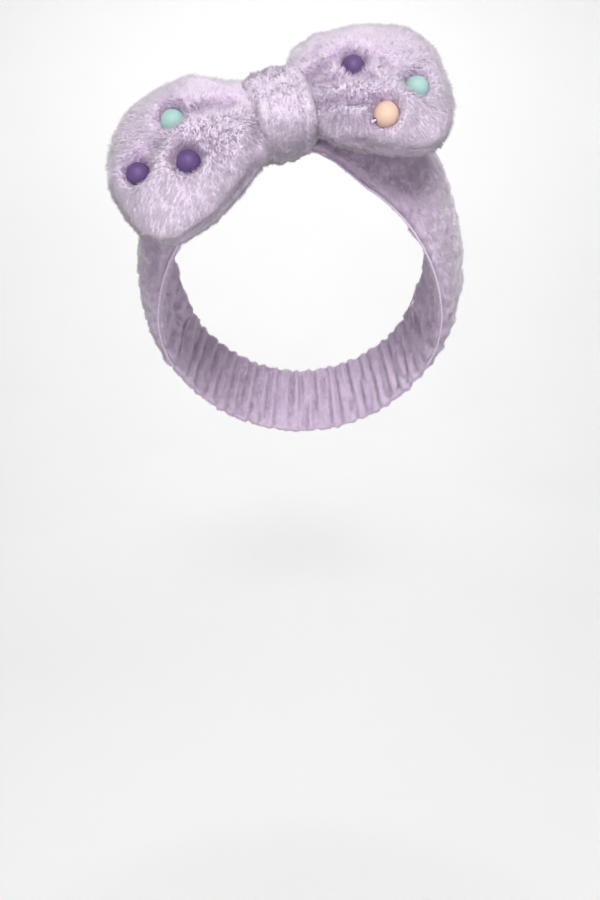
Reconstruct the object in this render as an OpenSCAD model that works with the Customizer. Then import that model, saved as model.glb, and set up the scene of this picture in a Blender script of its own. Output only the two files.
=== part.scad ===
// Plush spa headband with a padded, beaded bow.
// Origin: centre of the head opening. +X is to the right of a viewer who faces the wearer,
// -Y points from the wearer's face to that viewer, and +Z is up.

/* [Band] */
// Half the loop's width from side to side, to the middle of the padding
band_side_r = 84; // [82:1:88]
// Half the loop's length from forehead to nape, to the middle of the padding
band_long_r = 101; // [99:1:104]
// How steeply the loop's plane falls from forehead to nape, in degrees
band_tilt = 44; // [42:1:46]
// How far the band's front face leans back from upright at the forehead, in degrees
band_lean = 27; // [25:1:29]
// Thickness of the padded band
band_thick = 15; // [14:0.5:16]
// Half the band's width at the sides of the head
band_side_half = 33; // [30:1:35]
// Thickness of the fleece panels, pile included
fleece_thick = 2.5; // [2:0.25:2.5]

/* [Rear] */
// Half the gathered sleeve's width at the nape
sleeve_half = 24; // [22:1:25]
// Thickness of the gathered sleeve
sleeve_thick = 12; // [11:0.5:12.5]
// Width of the elastic
elastic_w = 25; // [20:1:26]
// Thickness of the elastic
elastic_thick = 1.5; // [1:0.25:1.75]

/* [Bow] */
// Height of each lobe
lobe_h = 77; // [72:1:80]
// Length of each lobe from knot to tip
lobe_len = 63; // [60:1:66]
// Thickness of each lobe at its fullest
lobe_thick = 20; // [18:1:21]
// Bow's mid-plane in front of the middle of the band
bow_gap = 15; // [14.5:0.5:16]
// How far the bow hangs below the middle of the pinched band
bow_drop = 9.5; // [8:0.5:11]

/* [Knot] */
// Width of the wrap along the bow
wrap_w = 28; // [27:1:30]
// Thickness of the wrap's fleece
wrap_thick = 3; // [2.5:0.25:3]

/* [Beads] */
// Diameter of a bead
bead_d = 10; // [9:0.5:11]
// Diameter of the hole through a bead
bead_hole_d = 2; // [1.75:0.25:2.5]
// Diameter of the thread that holds a bead
bead_thread_d = 1; // [0.75:0.25:1]

/* [Hidden] */

FLEECE = [0.84, 0.77, 0.88];
SHADED_FLEECE = [0.78, 0.70, 0.83];
FOAM = [0.96, 0.95, 0.92];
THREAD = [0.70, 0.60, 0.76];
ELASTIC = [0.95, 0.95, 0.96];
MINT = [0.70, 0.86, 0.82];
PURPLE = [0.44, 0.34, 0.59];
PEACH = [0.94, 0.82, 0.73];

// Round parts and fits
fine = 32;
skin_gap = 0.4;
stitch_r = 0.5;
bead_r = bead_d / 2;

// Angles round the loop: 0 at the forehead, positive to +X, 180 at the nape
panel_end = 112;
padding_end = 97;
sleeve_start = 113.5;
elastic_start = 101;

// Half-widths and thickness of the band where the wrap pinches it
pinch_lead = 20;
pinch_trail = 6;
pinch_thick = 9;
// The pinch holds for this many degrees each side of the knot, then fades over so many more
pinch_hold = 9;
pinch_fade = 26;

// The band narrows to the gathered sleeve from this angle, over so many degrees
rear_from = 76;
rear_fade = 52;

// The leading edge is this much narrower at the forehead, and is full by this angle
front_trim = 5;
front_trim_end = 70;

// How full the padded section is: lower is squarer
section_power = 0.7;

// ---------------------------------------------------------------- helpers

function clamp01(x) = min(1, max(0, x));
function ease(x) = let (c = clamp01(x)) c * c * (3 - 2 * c);
function unit(v) = v / norm(v);

// Faces of a closed tube of point rings, m points to a ring, with flat ends
function tube_faces(rings, m) = concat(
    [for (i = [0:rings - 2]) for (j = [0:m - 1])
        [i * m + j, i * m + (j + 1) % m, (i + 1) * m + (j + 1) % m, (i + 1) * m + j]],
    [[for (j = [m - 1:-1:0]) j]],
    [[for (j = [0:m - 1]) (rings - 1) * m + j]]
);

// ---------------------------------------------------------------- the loop's path

function path_point(t) = [
    band_side_r * sin(t),
    -band_long_r * cos(band_tilt) * cos(t),
    band_long_r * sin(band_tilt) * cos(t)
];
function path_tangent(t) = unit([
    band_side_r * cos(t),
    band_long_r * cos(band_tilt) * sin(t),
    -band_long_r * sin(band_tilt) * sin(t)
]);
function outward_hint(t) = [
    band_long_r * sin(t),
    -band_side_r * cos(band_lean) * cos(t),
    band_side_r * sin(band_lean) * cos(t)
];
// Across the band, towards the edge nearer the face
function path_across(t) = unit(cross(path_tangent(t), outward_hint(t)));
function path_outward(t) = cross(path_across(t), path_tangent(t));

// The band's cross-section round the loop: the pinch at the knot sits at angle knot_t
knot_x = -12;
knot_t = asin(knot_x / band_side_r);
function from_knot(t) = abs(t - knot_t);
function pinch(t) = 1 - ease((from_knot(t) - pinch_hold) / pinch_fade);
function to_rear(t) = ease((abs(t) - rear_from) / rear_fade);
function lead_full(t) = band_side_half - front_trim * (1 - ease(abs(t) / front_trim_end));
function lead_half(t) =
    lead_full(t) * (1 - pinch(t)) * (1 - to_rear(t))
    + pinch_lead * pinch(t) + sleeve_half * to_rear(t);
function trail_half(t) =
    band_side_half * (1 - pinch(t)) * (1 - to_rear(t))
    + pinch_trail * pinch(t) + sleeve_half * to_rear(t);
function band_depth(t) =
    band_thick + (pinch_thick - band_thick) * pinch(t) + (sleeve_thick - band_thick) * to_rear(t);

// The section hugs the head: its edges drop inwards with this radius
hug_r = 85;

// A point of the section: a is its angle (0 on the leading edge, 90 on the outer face),
// inset shrinks the section all round
function section_point(t, a, inset) =
    let (
        half = (lead_half(t) + trail_half(t)) / 2 - inset,
        mid = (lead_half(t) - trail_half(t)) / 2,
        bulge = band_depth(t) / 2 - inset,
        across = mid + half * cos(a),
        out = bulge * sign(sin(a)) * pow(abs(sin(a)), section_power)
    )
    path_point(t) + path_across(t) * across + path_outward(t) * (out - across * across / (2 * hug_r));

// A closed sweep of section outlines from angle t0 to t1
module sweep(t0, t1, rings, outline) {
    points = [for (i = [0:rings - 1]) let (t = t0 + (t1 - t0) * i / (rings - 1)) each outline(t)];
    polyhedron(points, tube_faces(rings, len(outline(t0))), convexity = 8);
}

// Half of a hollow section, from angle a0 to a0 + 180, less a hair's gap beside the other half
half_gap = 0.1;
function shell_angle(a0, k, steps) = a0 + half_gap + (180 - 2 * half_gap) * k / steps;
function shell_outline(a0, wall, steps) = function (t) concat(
    [for (k = [0:steps]) section_point(t, shell_angle(a0, k, steps), 0)],
    [for (k = [steps:-1:0]) section_point(t, shell_angle(a0, k, steps), wall)]
);
function full_outline(inset, steps) = function (t)
    [for (k = [0:steps - 1]) section_point(t, 360 * k / steps, inset)];
function thread_outline(across, out, r, steps) = function (t) [
    for (k = [0:steps - 1])
        path_point(t) + path_across(t) * (across(t) + r * cos(360 * k / steps))
        + path_outward(t) * (out - across(t) * across(t) / (2 * hug_r) + r * sin(360 * k / steps))
];

// ---------------------------------------------------------------- band

band_rings = 37;

module band_outer_panel() {
    color(FLEECE) sweep(-panel_end, panel_end, band_rings, shell_outline(0, fleece_thick, 8));
}

module band_inner_panel() {
    color(SHADED_FLEECE) sweep(-panel_end, panel_end, band_rings, shell_outline(180, fleece_thick, 8));
}

module band_padding() {
    color(FOAM)
        sweep(-padding_end, padding_end, band_rings, full_outline(fleece_thick + skin_gap, 16));
}

// The thread that closes the tube of fleece along one edge, lying just outside the edge
module edge_seam(edge) {
    color(THREAD)
        sweep(-panel_end + 1, panel_end - 1, band_rings, thread_outline(edge, 0, stitch_r, 6));
}

seam_stand_off = stitch_r + 0.1;

module band_front_seam() {
    edge_seam(function (t) lead_half(t) + seam_stand_off);
}

module band_rear_seam() {
    edge_seam(function (t) -trail_half(t) - seam_stand_off);
}

// ---------------------------------------------------------------- rear

rear_rings = 25;

module rear_sleeve_outer() {
    color(FLEECE)
        sweep(sleeve_start, 360 - sleeve_start, rear_rings, rear_shell(0));
}

module rear_sleeve_inner() {
    color(SHADED_FLEECE)
        sweep(sleeve_start, 360 - sleeve_start, rear_rings, rear_shell(180));
}

// Angles past 180 come back up the left side
function wrap_angle(t) = t > 180 ? t - 360 : t;
function rear_shell(a0) =
    let (outline = shell_outline(a0, fleece_thick, 7)) function (t) outline(wrap_angle(t));

// The elastic lies this far inside the middle of the sleeve, so that it stays clear as it stretches
elastic_inset = 1.6;
function strip_point(t) = path_point(t) - path_outward(t) * elastic_inset;
function strip_outline(half_w, half_h) = function (t)
    let (s = wrap_angle(t), p = strip_point(s), w = path_across(s), n = path_outward(s))
    [p - w * half_w - n * half_h, p + w * half_w - n * half_h,
     p + w * half_w + n * half_h, p - w * half_w + n * half_h];

module elastic_strip() {
    outline = strip_outline(elastic_w / 2, elastic_thick / 2);
    color(ELASTIC)
        sweep(elastic_start, 360 - elastic_start, rear_rings, outline);
}

// A row of stitches across one end of the elastic, on its outer face
stitch_count = 5;
stitch_length = 2.5;
stitch_lift = 0.05;
stitch_row_in = 2;
module elastic_stitches(side) {
    t = side * (elastic_start + stitch_row_in);
    p = strip_point(t);
    l = path_tangent(t);
    w = path_across(t);
    n = path_outward(t);
    color(THREAD)
        for (k = [0:stitch_count - 1]) {
            across = (k - (stitch_count - 1) / 2) * elastic_w / (stitch_count + 1);
            translate(p + w * across + n * (elastic_thick / 2 + stitch_r + stitch_lift))
                multmatrix([
                    [l.x, w.x, n.x, 0],
                    [l.y, w.y, n.y, 0],
                    [l.z, w.z, n.z, 0],
                    [0, 0, 0, 1]
                ])
                    cube([stitch_length, 2 * stitch_r, 2 * stitch_r], center = true);
        }
}

module left_elastic_stitches() {
    elastic_stitches(-1);
}

module right_elastic_stitches() {
    elastic_stitches(1);
}

// ---------------------------------------------------------------- the bow's frame

// Middle of the pinched band, where the wrap goes round it
pinch_mid = (pinch_lead - pinch_trail) / 2;
knot_at = path_point(knot_t) + path_across(knot_t) * pinch_mid;
bow_roll = 20;

// Puts local x along the bow, y up the wrap and z out of the bow's front
module in_bow_frame() {
    translate(knot_at)
        rotate([90 - band_lean, 0, 0])
            rotate([0, 0, bow_roll])
                children();
}

// ---------------------------------------------------------------- knot

// The wrap's profile is drawn round two circles behind the band and two round the bow.
// The band's circles: their heights, how far forward they stand, and their radius
wrap_top = 14;
wrap_foot = -13;
wrap_band_z = 0.5;
wrap_band_r = 7.5;
// The bow's circles: half their distance apart, and their radius
wrap_bow_half = 5;
wrap_bow_r = 12;

// y up, z to the front; grow is negative for the inside
module wrap_profile(grow) {
    hull() {
        for (y = [wrap_top, wrap_foot])
            translate([y, wrap_band_z])
                circle(r = wrap_band_r + grow, $fn = fine);
        for (y = [-bow_drop - wrap_bow_half, -bow_drop + wrap_bow_half])
            translate([y, bow_gap])
                circle(r = wrap_bow_r + grow, $fn = fine);
    }
}

// The stretch of band that passes through the wrap, with a clearance all round
band_cut_reach = 22;
band_cut_clear = 1.4;
band_cut_rings = 15;
module band_through_wrap() {
    outline = full_outline(-band_cut_clear, 14);
    sweep(knot_t - band_cut_reach, knot_t + band_cut_reach, band_cut_rings, outline);
}

module along_bow(width) {
    rotate([90, 0, 90])
        linear_extrude(width, center = true)
            children();
}

module knot_wrap() {
    color(FLEECE)
        difference() {
            in_bow_frame()
                along_bow(wrap_w)
                    difference() {
                        wrap_profile(0);
                        wrap_profile(-wrap_thick);
                    }
            band_through_wrap();
        }
}

// The bow's two layers, bunched where the wrap holds them
gather_w = 14;
gather_half = 6;
gather_r = 7;
module bow_gather() {
    color(SHADED_FLEECE)
        difference() {
            in_bow_frame()
                along_bow(gather_w)
                    hull()
                        for (y = [-bow_drop - gather_half, -bow_drop + gather_half])
                            translate([y, bow_gap])
                                circle(r = gather_r, $fn = fine);
            band_through_wrap();
        }
}

// One stitch along the bow
module stitch(length) {
    rotate([0, 90, 0])
        cylinder(r = stitch_r, h = length, center = true, $fn = 16);
}

// Hand stitches that close the wrap, on its face towards the head
back_stitch_length = 5;
back_stitch_step = 4;
module knot_back_stitches() {
    middle = (wrap_top + wrap_foot) / 2;
    back = wrap_band_z - wrap_band_r;
    color(THREAD)
        in_bow_frame()
            for (k = [-2:2])
                translate([0, middle + k * back_stitch_step, back - stitch_r - stitch_lift])
                    stitch(back_stitch_length);
}

// Two stitches that tack the bow's gather to the inside of the wrap
tack_length = 6;
tack_half = 7;
tack_clear = 0.1;
module bow_tack_stitches() {
    color(THREAD)
        in_bow_frame()
            for (y = [-tack_half, tack_half])
                translate([0, y - bow_drop, bow_gap + gather_r + stitch_r + tack_clear])
                    stitch(tack_length);
}

// ---------------------------------------------------------------- lobes

// A lobe lies along +x from its hinge, which runs along y at the mouth of the wrap
hinge_x = wrap_w / 2 + 1;
neck_half = 8;
neck_thick = 9;
neck_tip = neck_thick / 2;
lobe_steps = 18;
lobe_ribs = 20;
// The lobe's tip is cut off this far from its centre line, and its rim is this far from the mid-plane
tip_half = 6;
rim_half = 0.35;
// The outline flares over this length, and starts to close in from this distance
flare_length = 30;
outline_close_x = 30;
outline_power = 2.4;
// The thickness swells over this length, and starts to close in from this distance
swell_length = 26;
depth_close_x = 36;
depth_power = 2.6;
depth_round = 2.2;

// Bead centres on each lobe: distance from the hinge, height, how far it spins from y
LEFT_BEADS = [[27, 8.5, 20], [33, -11.5, 70], [51, -1.5, 110]];
RIGHT_BEADS = [[17, 4.5, 70], [39, -12.5, 20], [24, -22.5, 110]];
dimple_depth = 6.5;
dimple_r = 9.5;
bead_clearance = 1.4;

// Half-height of the outline at distance x
function lobe_half(x, inset) =
    let (
        full = lobe_h / 2 - inset,
        neck = neck_half - inset,
        flare = neck + (full - neck) * ease((x + neck_tip) / flare_length),
        way = max(0, x - outline_close_x) / (lobe_len - inset - outline_close_x),
        close = pow(max(0, 1 - pow(way, outline_power)), 1 / outline_power)
    )
    max(tip_half, flare * close);

// Half-thickness on the centre line at distance x
function lobe_depth(x, inset) =
    let (
        full = lobe_thick / 2 - inset,
        neck = neck_thick / 2 - inset,
        rise = neck + (full - neck) * ease(x / swell_length),
        round_in = x < 0 ? sqrt(max(0, 1 - pow(x / (neck_tip - inset), 2))) : 1,
        way = max(0, x - depth_close_x) / (lobe_len - inset - depth_close_x),
        round_out = pow(max(0, 1 - pow(way, depth_power)), 1 / depth_round)
    )
    rise * round_in * round_out;

function dimple(x, y, beads) =
    len(beads) == 0 ? 0 : max([for (b = beads)
        dimple_depth * exp(-(pow(x - b[0], 2) + pow(y - b[1], 2)) / pow(dimple_r, 2))]);

// Height of the lobe's surface above its mid-plane; v runs from -1 to 1 across.
// A dimple fades out where the crown is lower than this
full_dimple_crown = 4;
crown_power = 3;
function lobe_surface(x, v, inset, beads) =
    let (
        y = v * lobe_half(x, inset),
        crown = lobe_depth(x, inset) * sqrt(max(0, 1 - pow(abs(v), crown_power)))
    )
    max(rim_half, crown - dimple(x, y, beads) * min(1, crown / full_dimple_crown));

// Stations along the lobe crowd towards both ends
function station(i, inset) =
    let (u = (1 - cos(180 * i / lobe_steps)) / 2)
    -neck_tip + inset + u * (lobe_len - 2 * inset + neck_tip);
// Ribs stand a little closer together towards both edges
rib_power = 0.75;
function rib(j) = let (w = 2 * j / lobe_ribs - 1) sign(w) * pow(abs(w), rib_power);

function lobe_grid(inset, beads, flip) = [
    for (i = [0:lobe_steps]) for (j = [0:lobe_ribs])
        let (x = station(i, inset), v = rib(j))
        [x, v * lobe_half(x, inset), flip * lobe_surface(x, v, inset, beads)]
];

function grid_faces(first, turned) = [
    for (i = [0:lobe_steps - 1]) for (j = [0:lobe_ribs - 1])
        let (
            a = first + i * (lobe_ribs + 1) + j,
            b = a + lobe_ribs + 1,
            quad = [a, a + 1, b + 1, b]
        )
        each turned
            ? [[quad[2], quad[1], quad[0]], [quad[3], quad[2], quad[0]]]
            : [[quad[0], quad[1], quad[2]], [quad[0], quad[2], quad[3]]]
];

// The grid's border, in order round the outline
function border() = concat(
    [for (i = [0:lobe_steps]) i * (lobe_ribs + 1)],
    [for (j = [1:lobe_ribs]) lobe_steps * (lobe_ribs + 1) + j],
    [for (i = [lobe_steps - 1:-1:0]) i * (lobe_ribs + 1) + lobe_ribs],
    [for (j = [lobe_ribs - 1:-1:1]) j]
);

function rim_faces(first_a, first_b, turned) =
    let (loop = border(), n = len(loop))
    [for (k = [0:n - 1])
        let (a = loop[k], b = loop[(k + 1) % n])
        each turned
            ? [[first_a + a, first_a + b, first_b + b], [first_a + a, first_b + b, first_b + a]]
            : [[first_b + b, first_a + b, first_a + a], [first_b + a, first_b + b, first_a + a]]];

// A solid between two grids that share the lobe's layout
module between(top, bottom) {
    n = len(top);
    polyhedron(
        concat(top, bottom),
        concat(grid_faces(0, false), grid_faces(n, true), rim_faces(0, n, true)),
        convexity = 6
    );
}

// One fleece panel; side is 1 for the front, -1 for the back
module lobe_panel(beads, side) {
    color(side > 0 ? FLEECE : SHADED_FLEECE)
        mirror([0, 0, side > 0 ? 0 : 1])
            between(lobe_grid(0, beads, 1), lobe_grid(fleece_thick, beads, 1));
}

module lobe_filling(beads) {
    inset = fleece_thick + skin_gap;
    color(FOAM)
        between(lobe_grid(inset, beads, 1), lobe_grid(inset, [], -1));
}

// The thread that joins a lobe's two panels, between them and just inside their rim
lobe_seam_r = 0.3;
lobe_seam_inset = 1.2;
seam_sides = 6;
function lobe_seam_point(i, edge) =
    let (x = station(i, lobe_seam_inset)) [x, edge * lobe_half(x, lobe_seam_inset), 0];
function lobe_seam_path() = concat(
    [for (i = [1:lobe_steps]) lobe_seam_point(i, 1)],
    [for (i = [lobe_steps:-1:1]) lobe_seam_point(i, -1)]
);
module lobe_edge_seam() {
    path = lobe_seam_path();
    last = len(path) - 1;
    points = [for (i = [0:last])
        let (
            along = unit(path[min(last, i + 1)] - path[max(0, i - 1)]),
            side = cross(along, [0, 0, 1])
        )
        for (k = [0:seam_sides - 1])
            let (turn = 360 * k / seam_sides)
            path[i] + side * lobe_seam_r * cos(turn) + [0, 0, lobe_seam_r * sin(turn)]];
    color(THREAD)
        polyhedron(points, tube_faces(last + 1, seam_sides), convexity = 6);
}

module in_lobe_frame(side) {
    in_bow_frame()
        mirror([side < 0 ? 1 : 0, 0, 0])
            translate([hinge_x, lobe_rise(side) - bow_drop, bow_gap])
                rotate([0, lobe_yaw(side), lobe_droop(side)])
                    children();
}

// Where each lobe's neck sits in the wrap, how far the lobe leans back round the head, and how far
// it droops from the bow's line
function lobe_rise(side) = side < 0 ? 1.5 : 0;
function lobe_yaw(side) = side < 0 ? 8 : 2;
function lobe_droop(side) = side < 0 ? -17 : -8;

// ---------------------------------------------------------------- beads

// How high a bead's centre sits above the lobe's mid-plane
function bead_height(b, beads) =
    let (v = b[1] / lobe_half(b[0], 0)) lobe_surface(b[0], v, 0, beads) + bead_r + bead_clearance;

module at_bead(side, beads, k) {
    b = beads[k];
    in_lobe_frame(side)
        translate([b[0], b[1], bead_height(b, beads)])
            rotate([0, 0, b[2]])
                children();
}

// A bead with its hole along local y
module bead(side, beads, k, shade) {
    color(shade)
        at_bead(side, beads, k)
            difference() {
                sphere(r = bead_r, $fn = 64);
                rotate([90, 0, 0])
                    cylinder(d = bead_hole_d, h = 2 * bead_d, center = true, $fn = fine);
            }
}

// The thread through one bead: straight through the hole, then down into the fleece at both ends
thread_reach = bead_r + bead_clearance;
thread_leg = 7;
thread_bend_r = 0.7;
module bead_thread(side, beads, k) {
    at_bead(side, beads, k) {
        rotate([90, 0, 0])
            cylinder(d = bead_thread_d, h = 2 * thread_reach, center = true, $fn = fine);
        for (end = [-1, 1])
            translate([0, end * thread_reach, 0]) {
                sphere(r = thread_bend_r, $fn = fine);
                translate([0, 0, -thread_leg])
                    cylinder(d = bead_thread_d, h = thread_leg, $fn = fine);
            }
    }
}

module bead_threads(side, beads) {
    color(THREAD)
        for (k = [0:len(beads) - 1])
            bead_thread(side, beads, k);
}

module left_lobe_front_panel() {
    in_lobe_frame(-1)
        lobe_panel(LEFT_BEADS, 1);
}

module left_lobe_back_panel() {
    in_lobe_frame(-1)
        lobe_panel([], -1);
}

module left_lobe_filling() {
    in_lobe_frame(-1)
        lobe_filling(LEFT_BEADS);
}

module left_lobe_edge_seam() {
    in_lobe_frame(-1)
        lobe_edge_seam();
}

module left_bead_threads() {
    bead_threads(-1, LEFT_BEADS);
}

module left_mint_bead() {
    bead(-1, LEFT_BEADS, 0, MINT);
}

module left_inner_purple_bead() {
    bead(-1, LEFT_BEADS, 1, PURPLE);
}

module left_outer_purple_bead() {
    bead(-1, LEFT_BEADS, 2, PURPLE);
}

module right_lobe_front_panel() {
    in_lobe_frame(1)
        lobe_panel(RIGHT_BEADS, 1);
}

module right_lobe_back_panel() {
    in_lobe_frame(1)
        lobe_panel([], -1);
}

module right_lobe_filling() {
    in_lobe_frame(1)
        lobe_filling(RIGHT_BEADS);
}

module right_lobe_edge_seam() {
    in_lobe_frame(1)
        lobe_edge_seam();
}

module right_bead_threads() {
    bead_threads(1, RIGHT_BEADS);
}

module right_purple_bead() {
    bead(1, RIGHT_BEADS, 0, PURPLE);
}

module right_mint_bead() {
    bead(1, RIGHT_BEADS, 1, MINT);
}

module right_peach_bead() {
    bead(1, RIGHT_BEADS, 2, PEACH);
}

band_outer_panel();
band_inner_panel();
band_padding();
band_front_seam();
band_rear_seam();
elastic_strip();
rear_sleeve_outer();
rear_sleeve_inner();
left_elastic_stitches();
right_elastic_stitches();
knot_wrap();
bow_gather();
knot_back_stitches();
bow_tack_stitches();
left_lobe_front_panel();
left_lobe_back_panel();
left_lobe_filling();
left_lobe_edge_seam();
left_bead_threads();
left_mint_bead();
left_inner_purple_bead();
left_outer_purple_bead();
right_lobe_front_panel();
right_lobe_back_panel();
right_lobe_filling();
right_lobe_edge_seam();
right_bead_threads();
right_purple_bead();
right_mint_bead();
right_peach_bead();
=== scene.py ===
import math

import bmesh
import bpy
import numpy as np
from mathutils import Matrix, Vector


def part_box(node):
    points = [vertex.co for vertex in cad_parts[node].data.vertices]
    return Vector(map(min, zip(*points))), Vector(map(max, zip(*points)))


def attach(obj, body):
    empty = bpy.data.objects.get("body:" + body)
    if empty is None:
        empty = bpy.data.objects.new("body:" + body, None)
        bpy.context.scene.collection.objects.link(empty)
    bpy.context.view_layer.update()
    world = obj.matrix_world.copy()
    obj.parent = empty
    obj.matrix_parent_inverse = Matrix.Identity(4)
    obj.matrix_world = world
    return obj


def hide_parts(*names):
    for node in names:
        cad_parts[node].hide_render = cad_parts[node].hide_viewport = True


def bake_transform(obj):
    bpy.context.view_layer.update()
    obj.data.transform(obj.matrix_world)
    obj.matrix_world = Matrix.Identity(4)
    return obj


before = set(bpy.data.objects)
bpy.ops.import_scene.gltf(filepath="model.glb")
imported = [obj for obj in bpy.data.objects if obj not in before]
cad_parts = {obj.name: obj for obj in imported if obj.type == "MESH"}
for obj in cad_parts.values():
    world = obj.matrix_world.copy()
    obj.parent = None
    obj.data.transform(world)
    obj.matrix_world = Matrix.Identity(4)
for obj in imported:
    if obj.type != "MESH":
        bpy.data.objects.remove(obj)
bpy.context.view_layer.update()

MM = 0.001

# ---------------------------------------------------------------- the CAD's driving values
# Lengths are in mm, and angles round the loop and the lobes' angles in degrees

SIDE_R, LONG_R = 84.0, 101.0
TILT, LEAN = math.radians(44), math.radians(27)
BAND_THICK, SIDE_HALF = 15.0, 33.0
SLEEVE_HALF, SLEEVE_THICK = 24.0, 12.0
PINCH_LEAD, PINCH_TRAIL, PINCH_THICK = 20.0, 6.0, 9.0
PINCH_HOLD, PINCH_FADE = 9.0, 26.0
REAR_FROM, REAR_FADE = 76.0, 52.0
FRONT_TRIM, FRONT_TRIM_END = 5.0, 70.0
SECTION_POWER = 0.7
HUG_R = 85.0
KNOT_X = -12.0
KNOT_T = math.degrees(math.asin(KNOT_X / SIDE_R))
BOW_GAP, BOW_DROP, BOW_ROLL = 15.0, 9.5, math.radians(20)
WRAP_W, WRAP_THICK = 28.0, 3.0
WRAP_TOP, WRAP_FOOT, WRAP_BAND_Z, WRAP_BAND_R = 14.0, -13.0, 0.5, 7.5
WRAP_BOW_HALF, WRAP_BOW_R = 5.0, 12.0
BEAD_R = 5.0
HINGE_X = WRAP_W / 2 + 1
# How high each lobe's neck sits in the wrap, how far it leans back, and how far it droops
LOBE_PLACES = {-1: (1.5, 8, -17), 1: (0, 2, -8)}

# ---------------------------------------------------------------- the soft parts' own values

# The band's cloth ends here, just inside the sleeve's mouth
PANEL_END = 113.0

# How far the cloth under the pile lies inside the CAD's surface, which takes in the pile
PILE_ROOM = 1.0

LEFT_BEADS = ("left_mint_bead", "left_inner_purple_bead", "left_outer_purple_bead")
RIGHT_BEADS = ("right_purple_bead", "right_mint_bead", "right_peach_bead")

# Colours, as linear light
# LILAC_SHADE and LILAC_DEEP colour the painted shade of the darker cloth, and LILAC_SHADE that of the
# darkest strands; LILAC_SHADE also gives the fleece its random darker streaks
LILAC_PALE = (0.84, 0.74, 0.87)
LILAC = (0.76, 0.63, 0.80)
LILAC_SHADE = (0.64, 0.50, 0.69)
LILAC_DEEP = (0.38, 0.25, 0.42)


# ---------------------------------------------------------------- helpers

def ease(x):
    """0 below 0, 1 above 1, and a smooth step between."""
    c = np.clip(x, 0, 1)
    return c * c * (3 - 2 * c)


def unit(v):
    return v / np.maximum(np.linalg.norm(v, axis=-1, keepdims=True), 1e-9)


def wobble(points, size, seed, waves=9):
    """Smooth random lumps of about this size in mm, from -1 to 1."""
    rng = np.random.default_rng(seed)
    ways = unit(rng.normal(size=(waves, 3))) * 2 * math.pi / size * rng.uniform(0.7, 1.4, (waves, 1))
    phases = rng.uniform(0, 2 * math.pi, waves)
    return np.sin(points @ ways.T + phases).sum(axis=1) / math.sqrt(waves) / 1.4


def wobble_vectors(points, size, seed):
    return np.stack([wobble(points, size, seed + k) for k in range(3)], axis=1)


def new_mesh(name, verts, faces):
    """A mesh object in metres from points in mm; faces is an array with one row for each face."""
    mesh = bpy.data.meshes.new(name)
    faces = np.asarray(faces, np.int32)
    sides = faces.shape[1]
    mesh.vertices.add(len(verts))
    mesh.vertices.foreach_set("co", (np.asarray(verts) * MM).astype(np.float32).ravel())
    mesh.loops.add(faces.size)
    mesh.loops.foreach_set("vertex_index", faces.ravel())
    mesh.polygons.add(len(faces))
    mesh.polygons.foreach_set("loop_start", np.arange(0, faces.size, sides, dtype=np.int32))
    mesh.update(calc_edges=True)
    mesh.polygons.foreach_set("use_smooth", np.ones(len(mesh.polygons), bool))
    obj = bpy.data.objects.new(name, mesh)
    bpy.context.scene.collection.objects.link(obj)
    return obj


def points_of(obj):
    """The mesh's points, in mm."""
    co = np.empty(len(obj.data.vertices) * 3, np.float32)
    obj.data.vertices.foreach_get("co", co)
    return co.reshape(-1, 3).astype(float) / MM


def set_points(obj, points):
    obj.data.vertices.foreach_set("co", (points * MM).astype(np.float32).ravel())
    obj.data.update()


def normals_of(obj):
    no = np.empty(len(obj.data.vertices) * 3, np.float32)
    obj.data.vertex_normals.foreach_get("vector", no)
    return no.reshape(-1, 3).astype(float)


def triangles_of(obj):
    obj.data.calc_loop_triangles()
    tri = np.empty(len(obj.data.loop_triangles) * 3, np.int32)
    obj.data.loop_triangles.foreach_get("vertices", tri)
    return tri.reshape(-1, 3)


def grid_faces(rows, cols, wrap_rows, wrap_cols):
    """Quads between rows of points; each direction may wrap round to its start."""
    i = np.arange(rows if wrap_rows else rows - 1)[:, None]
    j = np.arange(cols if wrap_cols else cols - 1)[None, :]
    ni, nj = (i + 1) % rows, (j + 1) % cols
    quads = np.stack([i * cols + j, i * cols + nj, ni * cols + nj, ni * cols + j], axis=-1)
    return quads.reshape(-1, 4)


def apply_modifiers(obj):
    depsgraph = bpy.context.evaluated_depsgraph_get()
    mesh = bpy.data.meshes.new_from_object(obj.evaluated_get(depsgraph))
    obj.modifiers.clear()
    obj.data = mesh
    return obj


def subdivide(obj, levels=1):
    modifier = obj.modifiers.new("smooth", "SUBSURF")
    modifier.levels = levels
    modifier.render_levels = levels
    return apply_modifiers(obj)


# ---------------------------------------------------------------- materials

def node_material(name):
    material = bpy.data.materials.new(name)
    material.use_nodes = True
    tree = material.node_tree
    return material, tree, tree.nodes["Principled BSDF"]


def noise(tree, scale, detail=3.0, roughness=0.5):
    """A noise texture laid in the object's own coordinates."""
    coords = tree.nodes.new("ShaderNodeTexCoord")
    texture = tree.nodes.new("ShaderNodeTexNoise")
    texture.inputs["Scale"].default_value = scale
    texture.inputs["Detail"].default_value = detail
    texture.inputs["Roughness"].default_value = roughness
    tree.links.new(coords.outputs["Object"], texture.inputs["Vector"])
    return texture


def ramp(tree, source, stops):
    node = tree.nodes.new("ShaderNodeValToRGB")
    while len(node.color_ramp.elements) < len(stops):
        node.color_ramp.elements.new(0.5)
    for element, (place, colour) in zip(node.color_ramp.elements, stops):
        element.position = place
        element.color = (*colour, 1)
    tree.links.new(source, node.inputs["Fac"])
    return node.outputs["Color"]


def vary(tree, source, socket, low, high):
    """Drives the socket from low to high by the source."""
    node = tree.nodes.new("ShaderNodeMapRange")
    node.inputs["To Min"].default_value = low
    node.inputs["To Max"].default_value = high
    tree.links.new(source, node.inputs["Value"])
    tree.links.new(node.outputs["Result"], socket)


def bump(tree, shader, source, strength, depth):
    node = tree.nodes.new("ShaderNodeBump")
    node.inputs["Strength"].default_value = strength
    node.inputs["Distance"].default_value = depth
    tree.links.new(source, node.inputs["Height"])
    tree.links.new(node.outputs["Normal"], shader.inputs["Normal"])


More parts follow.
